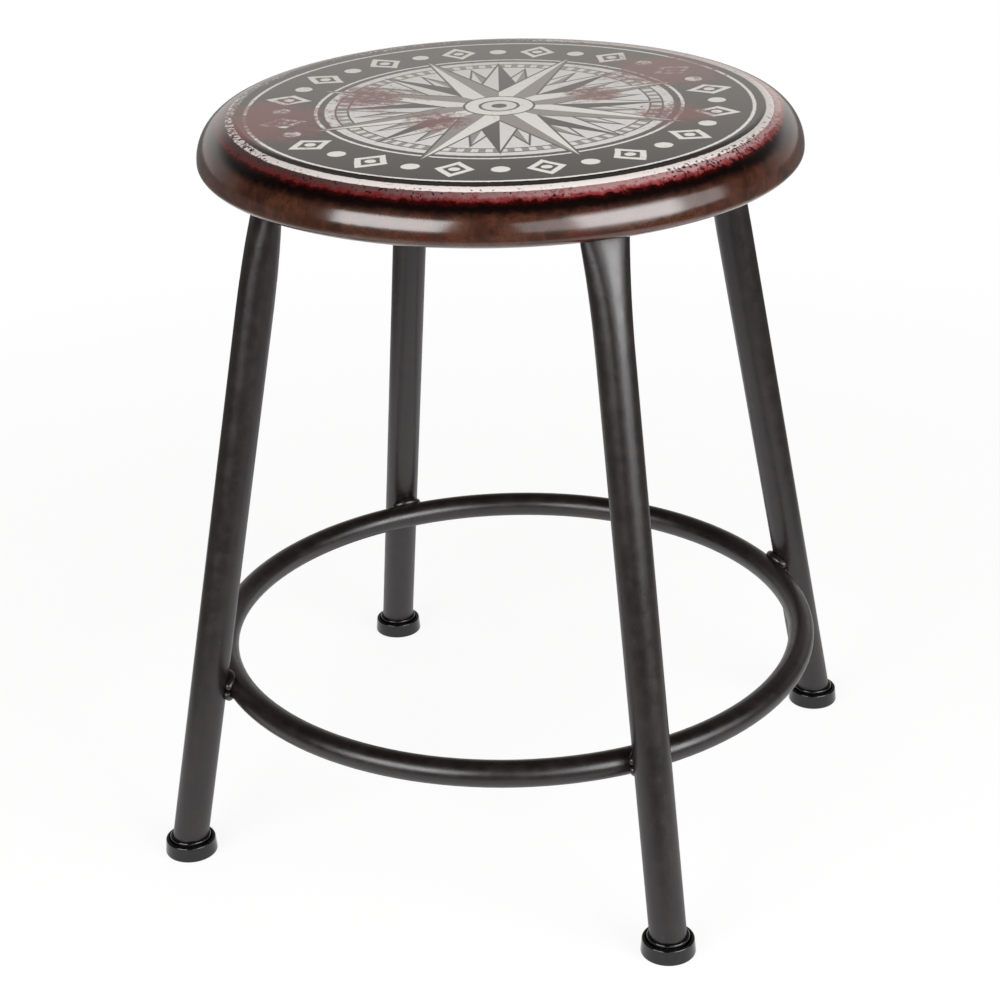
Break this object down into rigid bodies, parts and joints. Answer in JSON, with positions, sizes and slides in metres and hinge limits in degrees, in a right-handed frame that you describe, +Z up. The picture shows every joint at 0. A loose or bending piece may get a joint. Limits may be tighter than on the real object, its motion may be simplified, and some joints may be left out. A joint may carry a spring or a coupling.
{
  "type": "metal stool",
  "caption": "Low round stool: a pressed steel seat pan with a turned-in lip on splayed tube legs, flattened and bolted under the seat, and a welded foot ring.",
  "frame": {"origin": "on the floor, under the middle of the seat", "axes": "+Z up, -Y to the front; the legs stand on the diagonals between X and Y"},
  "size_m": [0.3824, 0.3824, 0.45],
  "materials": {
    "seat_enamel": "gloss",
    "frame_paint": "satin",
    "foot_rubber": "satin",
    "zinc_steel": "zinc plated"
  },
  "bodies": {
    "root": {"flat_washers": "zinc_steel", "foot_back_left": "foot_rubber", "foot_back_right": "foot_rubber", "foot_front_left": "foot_rubber", "foot_front_right": "foot_rubber", "foot_ring": "frame_paint", "leg_back_left": "frame_paint", "leg_back_right": "frame_paint", "leg_front_left": "frame_paint", "leg_front_right": "frame_paint", "ring_seam_weld": "frame_paint", "ring_weld_back_left": "frame_paint", "ring_weld_back_right": "frame_paint", "ring_weld_front_left": "frame_paint", "ring_weld_front_right": "frame_paint", "seat_bolts": "zinc_steel", "seat_pan": "seat_enamel", "seat_stiffener": "frame_paint", "spring_washers": "zinc_steel", "weld_nuts": "zinc_steel"}
  },
  "joints": []
}
